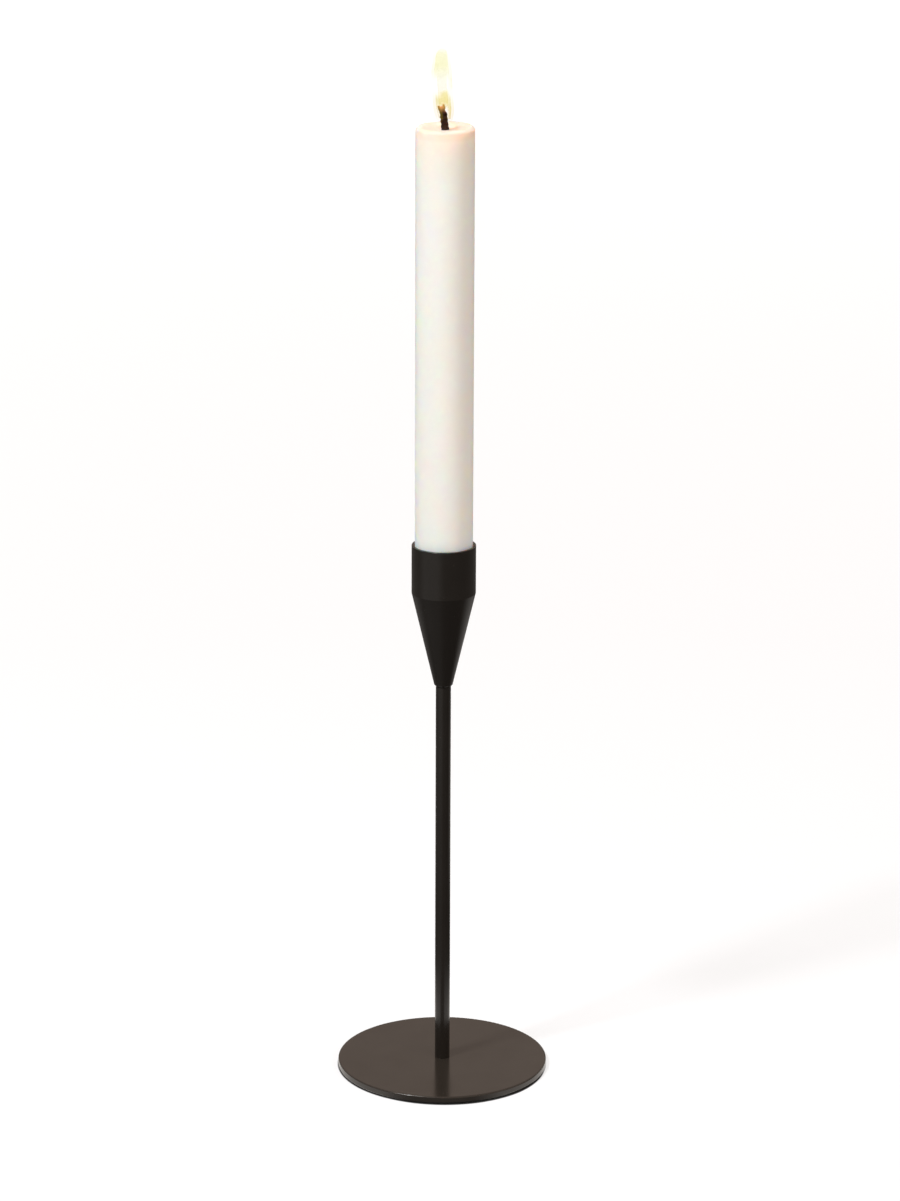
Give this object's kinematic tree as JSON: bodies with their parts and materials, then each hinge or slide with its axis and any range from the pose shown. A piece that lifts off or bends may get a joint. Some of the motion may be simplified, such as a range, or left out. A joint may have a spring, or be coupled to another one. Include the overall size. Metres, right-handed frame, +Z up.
{
  "type": "candlestick",
  "caption": "Slim steel candlestick: a flat disc base, a thin round stem and a cone-shaped cup that holds a straight dinner candle, with the candle and its burning wick.",
  "frame": {"origin": "centre of the underside of the foam ring under the base, on the table", "axes": "+Z up along the stem and the candle; the wick's free end bends towards -X; -Y faces the viewer"},
  "size_m": [0.08, 0.08, 0.3718],
  "materials": {
    "black_lacquer": "satin",
    "fastener_steel": "satin",
    "foam": "matte",
    "wax": "satin",
    "wick_cotton": "matte",
    "flame": "gloss"
  },
  "bodies": {
    "holder": {"base_plate": "black_lacquer", "base_pad": "foam", "base_screw": "fastener_steel", "stem": "black_lacquer", "stem_stud": "fastener_steel", "candle_cup": "black_lacquer"},
    "candle": {"candle": "wax", "wick": "wick_cotton"}
  },
  "joints": [
    {"name": "candle_lift", "type": "slide", "parent": "holder", "child": "candle", "axis": [0, 0, 1], "range_m": [0, 0.04]}
  ]
}
